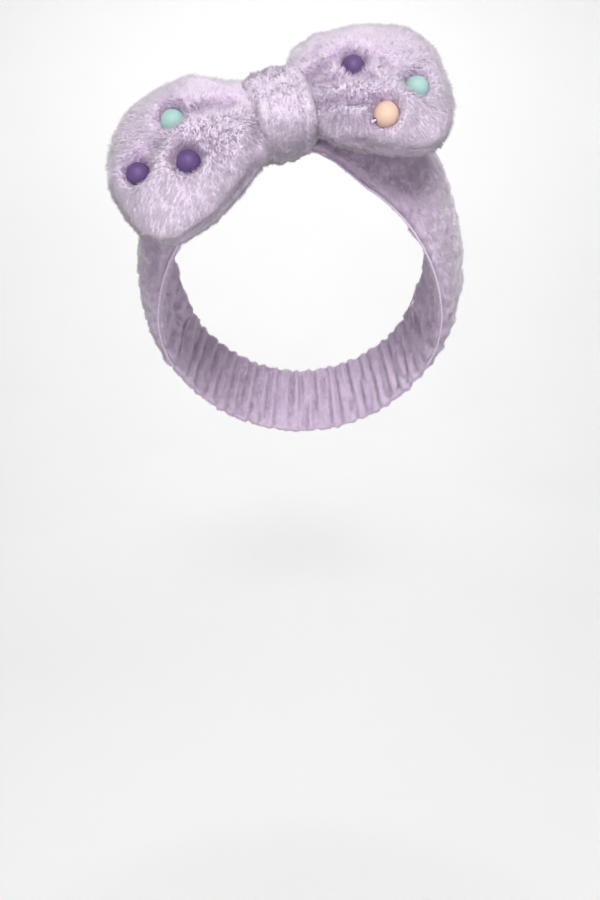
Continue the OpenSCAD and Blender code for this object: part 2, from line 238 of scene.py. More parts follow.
def mix(tree, fac, a, b):
    node = tree.nodes.new("ShaderNodeMix")
    node.data_type = "RGBA"
    node.inputs["Factor"].default_value = fac
    tree.links.new(a, node.inputs["A"])
    tree.links.new(b, node.inputs["B"])
    return node.outputs["Result"]


def fleece_material(name, pale, middle, deep):
    """The knitted base of the plush, mottled where the pile parts."""
    material, tree, shader = node_material(name)
    patches = noise(tree, 70, 4)
    fibres = noise(tree, 900, 5, 0.7)
    soft = ramp(tree, patches.outputs["Fac"], [(0.3, middle), (0.7, pale)])
    streak = ramp(tree, fibres.outputs["Fac"], [(0.3, deep), (0.62, pale)])
    tree.links.new(mix(tree, 0.3, soft, streak), shader.inputs["Base Color"])
    vary(tree, fibres.outputs["Fac"], shader.inputs["Roughness"], 0.85, 1.0)
    shader.inputs["Sheen Weight"].default_value = 0.5
    shader.inputs["Sheen Roughness"].default_value = 0.5
    shader.inputs["Specular IOR Level"].default_value = 0.1
    bump(tree, shader, fibres.outputs["Fac"], 0.5, 0.001)
    return material


def pile_material(name, colour):
    """Strands of the pile: one even colour, with a soft sheen and uneven gloss."""
    material, tree, shader = node_material(name)
    shader.inputs["Base Color"].default_value = (*colour, 1)
    vary(tree, noise(tree, 300, 2).outputs["Fac"], shader.inputs["Roughness"], 0.6, 0.95)
    shader.inputs["Sheen Weight"].default_value = 0.6
    shader.inputs["Sheen Roughness"].default_value = 0.45
    shader.inputs["Specular IOR Level"].default_value = 0.15
    return material


def bead_material(name, colour, shade):
    """Matte rubberised plastic with a faint mottle and a very fine grain."""
    material, tree, shader = node_material(name)
    mottle = noise(tree, 160, 3)
    grain = noise(tree, 2600, 2)
    mottled = ramp(tree, mottle.outputs["Fac"], [(0.3, shade), (0.7, colour)])
    tree.links.new(mottled, shader.inputs["Base Color"])
    vary(tree, grain.outputs["Fac"], shader.inputs["Roughness"], 0.48, 0.62)
    shader.inputs["Specular IOR Level"].default_value = 0.35
    bump(tree, shader, grain.outputs["Fac"], 0.12, 0.0001)
    return material


def thread_material(name, colour, shade):
    """Twisted polyester thread."""
    material, tree, shader = node_material(name)
    coords = tree.nodes.new("ShaderNodeTexCoord")
    twist = tree.nodes.new("ShaderNodeTexWave")
    twist.bands_direction = "DIAGONAL"
    twist.inputs["Scale"].default_value = 900
    tree.links.new(coords.outputs["Object"], twist.inputs["Vector"])
    twisted = ramp(tree, twist.outputs["Fac"], [(0.2, shade), (0.8, colour)])
    tree.links.new(twisted, shader.inputs["Base Color"])
    shader.inputs["Roughness"].default_value = 0.7
    shader.inputs["Sheen Weight"].default_value = 0.3
    bump(tree, shader, twist.outputs["Fac"], 0.5, 0.0002)
    return material


def elastic_material():
    """Braided elastic: fine ribs along its length."""
    material, tree, shader = node_material("elastic_braid")
    coords = tree.nodes.new("ShaderNodeTexCoord")
    ribs = tree.nodes.new("ShaderNodeTexWave")
    ribs.inputs["Scale"].default_value = 260
    ribs.inputs["Distortion"].default_value = 1.5
    tree.links.new(coords.outputs["Object"], ribs.inputs["Vector"])
    pale, shade = (0.88, 0.87, 0.9), (0.6, 0.58, 0.64)
    ribbed = ramp(tree, ribs.outputs["Fac"], [(0.2, shade), (0.8, pale)])
    tree.links.new(ribbed, shader.inputs["Base Color"])
    shader.inputs["Roughness"].default_value = 0.8
    bump(tree, shader, ribs.outputs["Fac"], 0.6, 0.0003)
    return material


FLEECE = fleece_material("fleece_cloth", LILAC_PALE, LILAC, LILAC_SHADE)
LINING = fleece_material("fleece_lining_cloth", LILAC_PALE, LILAC, LILAC_SHADE)
# A darker copy of the fleece cloth, as painted shade: on the band, on the rear sleeve and on the faces
# deep in the lobes' folds
PAINTED_SHADE_CLOTH = fleece_material("painted_shade_cloth", LILAC, LILAC_SHADE, LILAC_DEEP)
THREAD = thread_material("lilac_thread", LILAC_PALE, LILAC_SHADE)
# The darkest strands are a random few, and painted shade wherever a piece's strands are darkened
STRANDS = [
    pile_material("pile_pale", LILAC_PALE),
    pile_material("pile_lilac", LILAC),
    pile_material("pile_shade", LILAC_SHADE),
]


# ---------------------------------------------------------------- the loop's path, as the CAD draws it

def path_frame(t):
    """At angles t: the point, and the directions along, across towards the face edge, and outward."""
    a = np.radians(t)
    rear = LONG_R * np.cos(a)
    point = np.stack([SIDE_R * np.sin(a), -math.cos(TILT) * rear, math.sin(TILT) * rear], -1)
    sweep = LONG_R * np.sin(a)
    side = SIDE_R * np.cos(a)
    along = unit(np.stack([side, math.cos(TILT) * sweep, -math.sin(TILT) * sweep], -1))
    hint = np.stack([sweep, -SIDE_R * math.cos(LEAN) * np.cos(a), SIDE_R * math.sin(LEAN) * np.cos(a)], -1)
    across = unit(np.cross(along, hint))
    return point, along, across, np.cross(across, along)


def signed(t):
    """Angles past 180 come back up the left side."""
    return np.where(t > 180, t - 360, t)


def section_sizes(t):
    """Half-width of the band ahead of the path and behind it, and its depth."""
    s = signed(t)
    pinch = 1 - ease((np.abs(s - KNOT_T) - PINCH_HOLD) / PINCH_FADE)
    rear = ease((np.abs(s) - REAR_FROM) / REAR_FADE)
    free = (1 - pinch) * (1 - rear)
    lead_full = SIDE_HALF - FRONT_TRIM + FRONT_TRIM * ease(np.abs(s) / FRONT_TRIM_END)
    lead = lead_full * free + PINCH_LEAD * pinch + SLEEVE_HALF * rear
    trail = SIDE_HALF * free + PINCH_TRAIL * pinch + SLEEVE_HALF * rear
    depth = BAND_THICK + (PINCH_THICK - BAND_THICK) * pinch + (SLEEVE_THICK - BAND_THICK) * rear
    return lead, trail, depth


def band_surface(t, a, inset, folds):
    """Points of the padded tube; folds(t, a) is how far the cloth stands out, in mm."""
    lead, trail, depth = section_sizes(t)
    point, _, across_way, out_way = path_frame(signed(t))
    half = (lead + trail) / 2 - inset
    mid = (lead - trail) / 2
    stand = folds(t, a)
    ca, sa = np.cos(np.radians(a)), np.sin(np.radians(a))
    across = mid + (half + 0.5 * stand) * ca
    out = (depth / 2 - inset + stand) * np.sign(sa) * np.abs(sa) ** SECTION_POWER
    drop = out - across**2 / (2 * HUG_R)
    return point + across_way * across[..., None] + out_way * drop[..., None]


def band_folds(t, a):
    """Creases that run out of the knot, and shallow ruching that deepens towards the rear."""
    s = signed(t)
    beside = np.abs(s - KNOT_T)
    fan = np.exp(-(((beside - 18) / 12) ** 2)) * 1.5 * np.cos(np.radians(a * 5 + s * 1.5))
    rear = ease((np.abs(s) - 42) / 60)
    bend = 5 * np.sin(np.radians(a + s * 3.1)) + 3 * np.sin(np.radians(a * 2.3 - s * 5))
    ruche = np.sin(np.radians((s + bend * 0.5) * 36)) + 0.6 * np.sin(np.radians((s - bend) * 61 + 40))
    crease = np.exp(-(((np.cos(np.radians(a)) + 0.25 + 0.12 * np.sin(np.radians(s * 5))) / 0.09) ** 2))
    side = ease((np.abs(s) - 28) / 20)
    return fan + 0.85 * rear * ruche - 1.5 * crease * side * (1 - rear * 0.4)


def rear_folds(t, a):
    """Tight gathers of the sleeve over its elastic."""
    s = np.radians(t)
    bend = 0.5 * np.sin(np.radians(a) * 2 + s * 5) + 0.35 * np.sin(np.radians(a) * 3 - s * 9)
    gathers = np.sin(s * 58 + bend) + 0.5 * np.sin(s * 91 - 1.7 * bend + 1)
    start = ease((t - PANEL_END) / 8) * ease((360 - PANEL_END - t) / 8)
    return gathers * (0.45 + 0.55 * start)


def tube(name, t0, t1, rows, cols, inset, folds):
    """A closed padded tube from angle t0 to t1, its ends drawn in to a point."""
    t = np.linspace(t0, t1, rows)[:, None] + np.zeros((1, cols))
    a = np.linspace(0, 360, cols, endpoint=False)[None, :] + np.zeros((rows, 1))
    points = band_surface(t, a, inset, folds)
    middle = points.mean(axis=1, keepdims=True)
    for row, share in ((0, 0.04), (1, 0.75), (rows - 1, 0.04), (rows - 2, 0.75)):
        points[row] = middle[row] + (points[row] - middle[row]) * share
    faces = grid_faces(rows, cols, False, True)
    obj = new_mesh(name, points.reshape(-1, 3), faces)
    return fill_rings(obj, cols, (0, (rows - 1) * cols))


def fill_rings(obj, cols, starts):
    """Closes the mesh across the rings of points that begin at these numbers."""
    work = bmesh.new()
    work.from_mesh(obj.data)
    work.verts.ensure_lookup_table()
    for first in starts:
        work.faces.new([work.verts[first + k] for k in range(cols)])
    bmesh.ops.recalc_face_normals(work, faces=work.faces)
    for face in work.faces:
        face.smooth = True
    work.to_mesh(obj.data)
    work.free()
    return obj


def roughen(obj, size, height, seed):
    """Lays smooth random lumps on the surface."""
    points = points_of(obj)
    set_points(obj, points + normals_of(obj) * (wobble(points, size, seed) * height)[:, None])


def paint_faces(obj, materials, pick):
    """Gives each face the material whose number pick(centres) says."""
    for material in materials:
        obj.data.materials.append(material)
    centres = np.empty(len(obj.data.polygons) * 3, np.float32)
    obj.data.polygons.foreach_get("center", centres)
    index = pick(centres.reshape(-1, 3).astype(float) / MM)
    obj.data.polygons.foreach_set("material_index", index.astype(np.int32))


# ---------------------------------------------------------------- pile

STRAND_CORNERS = (0.0, math.radians(120), math.radians(240))
STRAND_FACES = np.array([[0, 1, 3], [1, 2, 3], [2, 0, 3], [0, 2, 1]])


def clump_pull(root, size, seed):
    """From each root towards the middle of its tuft; tufts are about this far apart, in mm."""
    cell = np.floor(root / size)
    mixed = np.sin(cell @ np.array([[12.9, 78.2, 37.7], [93.9, 67.3, 11.1], [45.1, 31.4, 59.7]]) + seed)
    jitter = mixed * 43758.5453 % 1.0
    return (cell + 0.2 + 0.6 * jitter) * size - root


def scatter_roots(skin, rng, per_mm2):
    """Random places on the skin, with the surface normal at each."""
    points, normals, tri = points_of(skin), normals_of(skin), triangles_of(skin)
    a, b, c = (points[tri[:, k]] for k in range(3))
    area = np.linalg.norm(np.cross(b - a, c - a), axis=1) / 2
    count = int(area.sum() * per_mm2)
    pick = rng.choice(len(tri), count, p=area / area.sum())
    u, v = rng.random((2, count, 1))
    u, v = np.where(u + v > 1, 1 - u, u), np.where(u + v > 1, 1 - v, v)
    root = a[pick] + (b - a)[pick] * u + (c - a)[pick] * v
    corners = (normals[tri[pick, k]] for k in range(3))
    up = unit(sum(normal * share for normal, share in zip(corners, (1 - u - v, u, v))))
    return root, up


def across_skin(ways, up):
    """The part of each direction that lies along the skin."""
    return ways - up * (ways * up).sum(axis=1, keepdims=True)


def strand_reach(root, up, rng, seed, comb, length, lean, curl, tuft):
    """From each root to its strand's tip."""
    nap = across_skin(comb(root, up), up)
    swirl = wobble_vectors(root, 4.5, seed + 10) + 0.6 * wobble_vectors(root, 12.0, seed + 20)
    way = unit(up + nap * lean + swirl * curl + rng.normal(size=root.shape) * 0.2)
    uneven = 1 + 0.2 * wobble(root, 5.0, seed + 30)[:, None]
    tall = length * rng.uniform(0.6, 1.15, (len(root), 1)) * uneven
    return way * tall + across_skin(clump_pull(root, 2.6, seed), up) * tuft


def clear_of(centres, root, reach):
    """Which strands keep off the beads at these centres."""
    clear = np.ones(len(root), bool)
    for centre in centres:
        for share in (0.1, 0.55, 1.0):
            clear &= np.linalg.norm(root + reach * share - centre, axis=1) > BEAD_R + 0.1
    return clear


def strand_mesh(name, root, up, reach, rng, width):
    """Three-sided strands that taper from a buried foot, shaded as a soft surface."""
    way = unit(reach)
    side = unit(np.cross(way, rng.normal(size=root.shape)))
    other = np.cross(way, side)
    half = width / 2 * rng.uniform(0.7, 1.3, (len(root), 1))
    foot = root - up * 0.4
    ring = [foot + (side * math.cos(a) + other * math.sin(a)) * half for a in STRAND_CORNERS]
    verts = np.stack([*ring, foot + reach], axis=1).reshape(-1, 3)
    first = (np.arange(len(root)) * 4)[:, None, None]
    obj = new_mesh(name, verts, (first + STRAND_FACES[None]).reshape(-1, 3))
    soft = unit(up * 0.85 + way * 0.3)
    return obj, soft


def grow_pile(name, skin, per_mm2, length, comb, seed, width=0.4, lean=0.9, curl=0.35, tuft=0.12,
              keep=None, avoid=(), shade=0.0, dark=None):
    """Fine tapered strands all over the skin.

    comb(points, normals) says which way the nap lies, keep(points, normals) where strands grow,
    and dark(points) how much painted shade darkens them; shade darkens every strand as painted shade;
    avoid lists the centres of the beads."""
    rng = np.random.default_rng(seed)
    thin = 1.0
    root, up = scatter_roots(skin, rng, per_mm2 * thin)
    if keep is not None:
        held = keep(root, up)
        root, up = root[held], up[held]
    reach = strand_reach(root, up, rng, seed, comb, length, lean, curl, tuft)
    clear = clear_of(avoid, root, reach)
    root, up, reach = root[clear], up[clear], reach[clear]
    obj, soft = strand_mesh(name, root, up, reach, rng, width / math.sqrt(thin))
    for material in STRANDS:
        obj.data.materials.append(material)
    # Each strand's colour: a random tone, made darker by shade and by dark(root) as painted shade
    tone = wobble(root, 7.0, seed + 40) * 0.3 + rng.normal(size=len(root)) * 0.5 + shade
    if dark is not None:
        tone = tone + dark(root)
    index = np.where(tone > 1.5, 2, np.where(tone > 0.3, 1, 0))
    obj.data.polygons.foreach_set("material_index", np.repeat(index, 4).astype(np.int32))
    obj.data.normals_split_custom_set_from_vertices(np.repeat(soft, 4, axis=0).tolist())
    return obj


def bead_centre(name):
    """The middle of a bead of the CAD, in mm."""
    low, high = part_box(name)
    return (np.array(low) + np.array(high)) / 2 / MM


# ---------------------------------------------------------------- the bow's frame

def turn(angle, axis):
    return np.array(Matrix.Rotation(angle, 3, axis))


def bow_frame():
    """Origin and axes of the bow: x runs along it, y up the wrap and z to the front."""
    point, _, across, _ = path_frame(np.array([KNOT_T]))
    origin = point[0] + across[0] * (PINCH_LEAD - PINCH_TRAIL) / 2
    return origin, turn(math.pi / 2 - LEAN, "X") @ turn(BOW_ROLL, "Z")


BOW_AT, BOW_TURN = bow_frame()


def lobe_frame(side):
    """Origin and axes of a lobe: x runs outward from its hinge, y up and z to the front."""
    rise, yaw, droop = LOBE_PLACES[side]
    local = turn(math.radians(droop), "Z") @ turn(math.radians(yaw), "Y")
    flip = np.diag([float(side), 1.0, 1.0])
    origin = BOW_AT + BOW_TURN @ (flip @ np.array([HINGE_X, rise - BOW_DROP, BOW_GAP]))
    return origin, BOW_TURN @ flip @ local


def to_lobe(points, side):
    origin, axes = lobe_frame(side)
    return (points - origin) @ axes


def from_lobe(points, side):
    origin, axes = lobe_frame(side)
    return points @ axes.T + origin


# ---------------------------------------------------------------- lobes

# Each lobe as worn, in mm from its hinge: its length, how far its tip sags, and its outline above and
# below its middle line. The outline leaves the wrap at a start, swells at once to a near half-height,
# and then reaches a full one over a run
LOBE_SHAPES = {
    -1: {"long": 64.5, "sag": 10.0, "above": (-4, 24.0, 32.5, 22.0), "below": (-1.5, 22.0, 30.5, 40.0)},
    1: {"long": 57.0, "sag": 0.0, "above": (-9, 30.0, 31.5, 13.0), "below": (-2, 22.5, 36.0, 40.0)},
}
# Where the hidden neck begins, its half-height and its depth
NECK_X, NECK_HALF, NECK_DEPTH = -9.5, 13.5, 7.8
FRONT_DEPTH, BACK_DEPTH = 13.5, 9.0
# Where the outline and the depth start to close in towards the tip
CLOSE_X, CLOSE_POWER = 28.0, 2.6
DEPTH_CLOSE_X, DEPTH_POWER, DEPTH_ROUND = 34.0, 2.6, 2.2
# A point in the middle of each lobe, towards which its edge seam pulls
LOBE_MIDDLE = np.array([26.0, 0.0])
# The edge seam lies this far in front of the lobe's middle, and this far in from the outline
SEAM_Z, SEAM_SUNK, SEAM_R = 0.3, 1.7, 0.35


def lobe_sag(x, side):
    """How far the lobe's middle line has sunk at distance x."""
    shape = LOBE_SHAPES[side]
    return shape["sag"] * (np.clip(x - CLOSE_X, 0, None) / (shape["long"] - CLOSE_X)) ** 2


def lobe_outline(x, side, part):
    """Half-height at distance x from the hinge, above or below the lobe's middle line."""
    start, near, full, run = LOBE_SHAPES[side][part]
    shoulder = np.clip((x - start) / 7, 0, 1)
    half = NECK_HALF + (near - NECK_HALF) * shoulder * (2 - shoulder) + (full - near) * ease(x / run)
    way = np.clip(x - CLOSE_X, 0, None) / (LOBE_SHAPES[side]["long"] - CLOSE_X)
    return half * np.maximum(0, 1 - way**CLOSE_POWER) ** (1 / CLOSE_POWER)


def lobe_share(points, side):
    """How far out each point lies between the middle line (0) and the outline (1)."""
    above = lobe_outline(points[:, 0], side, "above")
    below = lobe_outline(points[:, 0], side, "below")
    off = points[:, 1] + lobe_sag(points[:, 0], side)
    return np.abs(off) / np.maximum(np.where(off > 0, above, below), 1)


def lobe_blank(name, side):
    """The lobe before it is stuffed, in its own frame: a little thinner than it ends up."""
    rows, cols = 44, 56
    shape = LOBE_SHAPES[side]
    spread = (1 - np.cos(np.linspace(0, math.pi, rows))) / 2
    x = (NECK_X + (shape["long"] - NECK_X) * spread)[:, None]
    angle = np.linspace(0, 2 * math.pi, cols, endpoint=False)[None, :]
    ca, sa = np.cos(angle), np.sin(angle)
    above = lobe_outline(x, side, "above")
    below = lobe_outline(x, side, "below")
    y = np.maximum(np.where(ca > 0, above, below), 0.3) * ca - lobe_sag(x, side)
    depth = NECK_DEPTH + (FRONT_DEPTH - 2 - NECK_DEPTH) * ease((x + 1) / 14)
    way = np.clip(x - DEPTH_CLOSE_X, 0, None) / (shape["long"] - DEPTH_CLOSE_X)
    depth = depth * np.maximum(0, 1 - way**DEPTH_POWER) ** (1 / DEPTH_ROUND)
    z = np.maximum(depth, 0.3) * np.sqrt(1 - np.abs(ca) ** 3) * np.sign(sa)
    points = np.stack([x + np.zeros_like(y), y, z], axis=-1)
    obj = new_mesh(name, points.reshape(-1, 3), grid_faces(rows, cols, False, True))
    return fill_rings(obj, cols, (0, (rows - 1) * cols))


def stuff(obj, voxel, pressure, cap, pinned_below):
    """Blows the cloth up as stuffing would: no point moves further than cap, in mm."""
    remesh = obj.modifiers.new("remesh", "REMESH")
    remesh.mode = "VOXEL"
    remesh.voxel_size = voxel * MM
    apply_modifiers(obj)
    rest = points_of(obj)
    group = obj.vertex_groups.new(name="pin")
    held = [int(k) for k in np.nonzero(rest[:, 0] < pinned_below)[0]]
    group.add(held, 1.0, "REPLACE")
    cloth = obj.modifiers.new("cloth", "CLOTH")
    cloth.settings.use_pressure = True
    cloth.settings.uniform_pressure_force = pressure
    cloth.settings.vertex_group_mass = "pin"
    cloth.settings.effector_weights.gravity = 0
    scene = bpy.context.scene
    for step in range(1, 21):
        scene.frame_set(step)
    apply_modifiers(obj)
    scene.frame_set(1)
    move = points_of(obj) - rest
    far = np.linalg.norm(move, axis=1, keepdims=True)
    set_points(obj, rest + move * np.minimum(1, cap / np.maximum(far, 1e-6)))
    return obj


def smooth(obj, rounds, factor=0.5):
    modifier = obj.modifiers.new("relax", "SMOOTH")
    modifier.iterations = rounds
    modifier.factor = factor
    return apply_modifiers(obj)


def groove(points, start, end, depth, width):
    """How deep a crease lies at each point of a lobe's front, from start to end in the lobe's x and y."""
    start, end = np.array(start, float), np.array(end, float)
    way = end - start
    share = ((points[:, :2] - start) @ way) / (way @ way)
    nearest = start + np.clip(share, 0, 1)[:, None] * way
    off = np.linalg.norm(points[:, :2] - nearest, axis=1)
    fade = ease((share + 0.25) / 0.35) * ease((1.2 - share) / 0.4)
    return depth * np.exp(-((off / width) ** 2)) * fade


# Creases on each lobe's front: start, end, depth and width, in the lobe's x and y
LEFT_CREASES = (
    ((3, 0), (22, 7), 5.5, 3.0),
    ((38, 2), (50, 3), 3.6, 3.4),
    ((20, -11), (30, -12), 2.2, 3.0),
    ((2, -14), (22, -20), 1.2, 4.5),
)
RIGHT_CREASES = (
    ((-3, 6), (12, 8.5), 5.6, 3.0),
    ((-2, 0), (24, -5), 3.6, 2.2),
    ((-2, -8.5), (21, -16.5), 4.2, 2.4),
    ((21, 6), (35, -4), 3.0, 3.4),
    ((2, -17), (20, -25), 1.6, 3.0),
)


def painted_fold_shade(points, side, beads, creases):
    """How much painted shade the pile gets at each point of a lobe's front, in its creases and round its
    beads: 0 in the open, over 1 deep in a fold.
    """
    flat = to_lobe(points, side)
    dark = sum(groove(flat, *crease) for crease in creases) / 1.9
    for name in beads:
        centre = to_lobe(bead_centre(name)[None], side)[0]
        # Painted shade in a ring round each bead, set a little up and towards the hinge
        off = np.linalg.norm(flat[:, :2] - centre[:2] - np.array([-1.0, 1.5]), axis=1)
        dark = dark + 1.5 * np.exp(-((np.maximum(off - BEAD_R, 0) / 2.2) ** 2))
    return dark * ease(flat[:, 2] / 3)


def gather_neck(points, side, front):
    """Small pleats that fan out of the wrap and die away along the lobe."""
    fan = np.arctan2(points[:, 1], points[:, 0] + 12)
    pleats = np.cos(fan * 19 + side) + 0.6 * np.cos(fan * 31 + 2)
    fade = np.exp(-np.maximum(points[:, 0], 0) / 15) * ease((points[:, 0] + 2) / 5)
    points[:, 2] += 0.9 * pleats * fade * front


def seat_bead(points, side, name, front):
    """A cushion round the bead, and a cup that holds it clear of the cloth."""
    centre = to_lobe(bead_centre(name)[None], side)[0]
    off = np.linalg.norm(points[:, :2] - centre[:2], axis=1)
    points[:, 2] += 1.8 * np.exp(-(((off - BEAD_R - 3) / 3) ** 2)) * front
    cup = centre[2] - np.sqrt(np.maximum((BEAD_R + 0.3) ** 2 - off**2, 0))
    rise = 1.2 + np.maximum(points[:, 2] - centre[2], 0) * ease((off - BEAD_R) / 4.5)
    cup = cup + rise * ease((off - BEAD_R) / 1.2)
    points[:, 2] = np.where(front > 0, np.minimum(points[:, 2], cup), points[:, 2])


def sink_seam(points, side):
    """Pulls the rim in along the edge seam."""
    rim = ease((lobe_share(points, side) - 0.72) / 0.2)
    rim = np.maximum(rim, ease((points[:, 0] - LOBE_SHAPES[side]["long"] + 16) / 9))
    rim = rim * ease((points[:, 0] - 4) / 8)
    line = np.exp(-(((points[:, 2] - SEAM_Z) / 1.7) ** 2)) * rim
    inward = unit(LOBE_MIDDLE - points[:, :2])
    points[:, :2] += inward * (line * 2.0)[:, None]


def shape_lobe(obj, side, beads, creases):
    """Presses the pleats, creases, beads' seats and seam's groove into the stuffed lobe."""
    points = points_of(obj)
    front = ease((points[:, 2] + 1) / 4)
    gather_neck(points, side, front)
    for crease in creases:
        points[:, 2] -= groove(points, *crease) * front
    for name in beads:
        seat_bead(points, side, name, front)
    sink_seam(points, side)
    set_points(obj, points)


def fit_lobe(obj, low, high):
    """Brings the stuffed lobe back to the outline it was cut to, past its neck, and to its thickness."""
    points = points_of(obj)
    share = ease((points[:, 0] + 4) / 10)[:, None]
    floor = np.array([0.0, low[1], -BACK_DEPTH])
    top = np.array([high[0], high[1], FRONT_DEPTH])
    grown = np.where(points > 0, top / points.max(axis=0), floor / points.min(axis=0))
    grown[:, 0] = np.where(points[:, 0] > 0, grown[:, 0], 1)
    set_points(obj, points * (1 + (grown - 1) * share))


def make_lobe(side, name, beads, creases, seed):
    obj = lobe_blank(name, side)
    cut = points_of(obj)
    stuff(obj, 4.2, 4.0, 5.0, 1.0)
    smooth(obj, 3)
    subdivide(obj)
    fit_lobe(obj, cut.min(axis=0), cut.max(axis=0))
    shape_lobe(obj, side, beads, creases)
    smooth(obj, 1, 0.35)
    set_points(obj, from_lobe(points_of(obj), side))
    if side < 0:
        obj.data.flip_normals()
    roughen(obj, 16, 0.55, seed)

    # The back takes the lining, and the front's faces deep in folds take the darker cloth, as painted
    # shade
    def finish(centres):
        back = to_lobe(centres, side)[:, 2] < SEAM_Z
        return np.where(back, 1, np.where(painted_fold_shade(centres, side, beads, creases) > 0.8, 2, 0))

    paint_faces(obj, [FLEECE, LINING, PAINTED_SHADE_CLOTH], finish)
    return obj


def lobe_seam(side, name):
    """The thread that closes the lobe's edge, lying in the seam's groove."""
    long = LOBE_SHAPES[side]["long"]
    spread = (1 - np.cos(np.linspace(0.35, math.pi, 70))) / 2
    x = -3 + (long + 3) * spread
    sag = lobe_sag(x, side)
    top = np.stack([x, lobe_outline(x, side, "above") - sag], axis=1)
    foot = np.stack([x, -lobe_outline(x, side, "below") - sag], axis=1)[::-1]
    line = np.vstack([top, foot[1:]])
    line = line + unit(LOBE_MIDDLE - line) * SEAM_SUNK
    along = unit(np.gradient(line, axis=0))
    outward = np.stack([along[:, 1], -along[:, 0]], axis=1)
    ring = np.linspace(0, 2 * math.pi, 8, endpoint=False)
    offset = outward[:, None, :] * np.cos(ring)[None, :, None] * SEAM_R
    flat = line[:, None, :] + offset
    height = SEAM_Z + SEAM_R * np.sin(ring)[None, :] + np.zeros((len(line), 1))
    points = np.concatenate([flat, height[..., None]], axis=-1).reshape(-1, 3)
    obj = new_mesh(name, from_lobe(points, side), grid_faces(len(line), len(ring), False, True))
    fill_rings(obj, len(ring), (0, (len(line) - 1) * len(ring)))
    obj.data.materials.append(THREAD)
    return obj


def lobe_comb(side):
    """The nap lies outward from the middle of the lobe, and past its rim."""
    _, axes = lobe_frame(side)

    def comb(root, up):
        local = to_lobe(root, side)
        way = np.zeros_like(local)
        way[:, 0] = (local[:, 0] - 20) / 30 + 0.25
        way[:, 1] = local[:, 1] / 26
        way += 0.15 * wobble_vectors(root, 22, 71)
        return way @ axes.T

    return comb


def blend_lobe(obj):
    """Bakes the lobe's placement into its mesh."""
    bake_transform(obj)


# ---------------------------------------------------------------- knot

def wrap_outline(count):
    """Points and outward directions round the wrap's profile: y up, z to the front."""
    circles = (
        (WRAP_TOP, WRAP_BAND_Z, WRAP_BAND_R),
        (WRAP_FOOT, WRAP_BAND_Z, WRAP_BAND_R),
        (-BOW_DROP - WRAP_BOW_HALF, BOW_GAP, WRAP_BOW_R),
        (-BOW_DROP + WRAP_BOW_HALF, BOW_GAP, WRAP_BOW_R),
    )
    angle = np.linspace(0, 2 * math.pi, 720, endpoint=False)
    ways = np.stack([np.cos(angle), np.sin(angle)], axis=1)
    reach = np.stack([ways @ np.array(c[:2]) + c[2] for c in circles], axis=1)
    best = reach.argmax(axis=1)
    centres = np.array([c[:2] for c in circles])[best]
    radii = np.array([c[2] for c in circles])[best]
    edge = centres + ways * radii[:, None]
    step = np.linalg.norm(np.roll(edge, -1, axis=0) - edge, axis=1)
    run = np.concatenate([[0], np.cumsum(step)])
    ring = np.vstack([edge, edge[:1]])
    places = np.linspace(0, run[-1], count, endpoint=False)
    spots = np.stack([np.interp(places, run, ring[:, k]) for k in range(2)], axis=1)
    along = unit(np.roll(spots, -1, axis=0) - np.roll(spots, 1, axis=0))
    return spots, np.stack([along[:, 1], -along[:, 0]], axis=1)


# The wrap's half-width as it is drawn in by its stitches
KNOT_HALF = 12.8


def make_knot():
    """The wrap as a padded ring of fleece, gathered at its foot and drawn in at its top right."""
    rows, cols = 110, 40
    spots, outward = wrap_outline(rows)
    angle = np.linspace(0, 2 * math.pi, cols, endpoint=False)[None, :]
    high = ease((spots[:, 0] + 2) / 14)[:, None]
    drawn_in = np.where(np.cos(angle) > 0, 5.5, 1.0)
    half = KNOT_HALF - drawn_in * high
    x = half * np.sign(np.cos(angle)) * np.abs(np.cos(angle)) ** 0.75
    outer = np.sin(angle) > 0
    lift = np.where(outer, np.abs(np.sin(angle)) ** 0.7, -(np.abs(np.sin(angle)) ** 0.9))
    thick = WRAP_THICK / 2 + 0.4
    gathers = np.sin(x * 0.9 + 2.2 * np.sin(spots[:, :1] * 0.12)) * outer
    gathers = gathers * (0.5 - 0.35 * high)
    out = -PILE_ROOM - thick + 0.5 + thick * lift + gathers * 0.9
    out = out - 2.2 * (np.abs(x) / half) ** 4
    y = spots[:, :1] + outward[:, :1] * out
    z = spots[:, 1:] + outward[:, 1:] * out
    points = np.stack([x, y, z], axis=-1).reshape(-1, 3) @ BOW_TURN.T + BOW_AT
    obj = new_mesh("knot_fleece", points, grid_faces(rows, cols, True, True))
    if faces_inward(obj):
        obj.data.flip_normals()
    obj.data.materials.append(FLEECE)
    roughen(obj, 9, 0.5, 31)
    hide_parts("knot_wrap", "bow_gather")
    return obj


def faces_inward(obj):
    """True if the mesh's signed volume is negative, so its faces point inwards."""
    points, tri = points_of(obj), triangles_of(obj)
    a, b, c = (points[tri[:, k]] for k in range(3))
    return (a * np.cross(b, c)).sum() < 0


def knot_comb(root, up):
    """The nap lies down the wrap and a little towards its sides."""
    local = (root - BOW_AT) @ BOW_TURN
    way = np.zeros_like(local)
    way[:, 0] = local[:, 0] / 22
    way[:, 1] = -0.9
    return way @ BOW_TURN.T


# ---------------------------------------------------------------- building the object

def band_comb(root, up):
    """The nap lies away from the knot, and a little downwards."""
    way = np.zeros_like(root)
    way[:, 0] = np.sign(root[:, 0] - KNOT_X) * 0.5
    way[:, 1] = 0.7
    way[:, 2] = -0.6
    return way + 0.4 * wobble_vectors(root, 26, 51)


def blend_rear(obj):
    """Bakes the piece's placement into its mesh."""
    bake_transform(obj)


def under_wrap(points):
    """Which points lie inside the wrap, where no pile is needed."""
    local = (points - BOW_AT) @ BOW_TURN
    return np.abs(local[:, 0]) < WRAP_W / 2 - 1.5


def outward_of(root, up):
    """How far each normal points out of the loop rather than into it."""
    flat = root.copy()
    rear = -root[:, 1] * math.cos(TILT) + root[:, 2] * math.sin(TILT)
    flat[:, 1] = -rear * math.cos(TILT)
    flat[:, 2] = rear * math.sin(TILT)
    return (unit(flat) * up).sum(axis=1)


